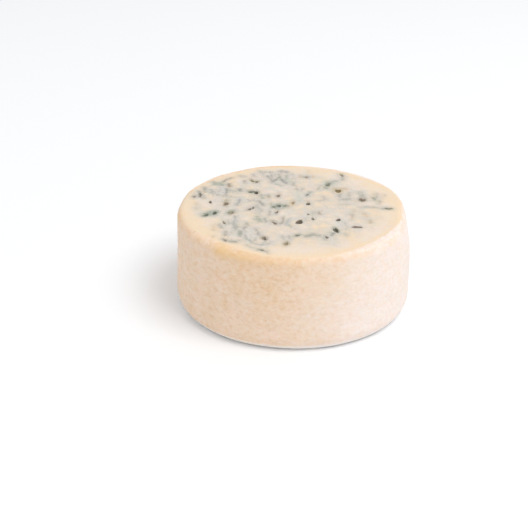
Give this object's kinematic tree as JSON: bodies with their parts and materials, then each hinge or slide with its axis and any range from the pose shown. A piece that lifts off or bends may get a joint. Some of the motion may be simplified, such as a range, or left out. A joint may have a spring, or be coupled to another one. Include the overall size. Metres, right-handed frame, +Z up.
{
  "type": "blue goat cheese wheel",
  "caption": "Squat round wheel of blue goat's cheese with its upper rind sliced off, showing a flat marbled face pitted with small mould pockets.",
  "frame": {"origin": "middle of the flat underside that the wheel rests on", "axes": "+Z up through the cut face; -Y towards the side that the picture shows; +X to its right"},
  "size_m": [0.2026, 0.2017, 0.0849],
  "materials": {
    "cheese": "soft moist cheese: a matt cream cut face with grey-green mould veins, and a beige to pale orange natural rind with a faint white bloom"
  },
  "bodies": {
    "root": {"cheese_wheel": "cheese"}
  },
  "joints": []
}
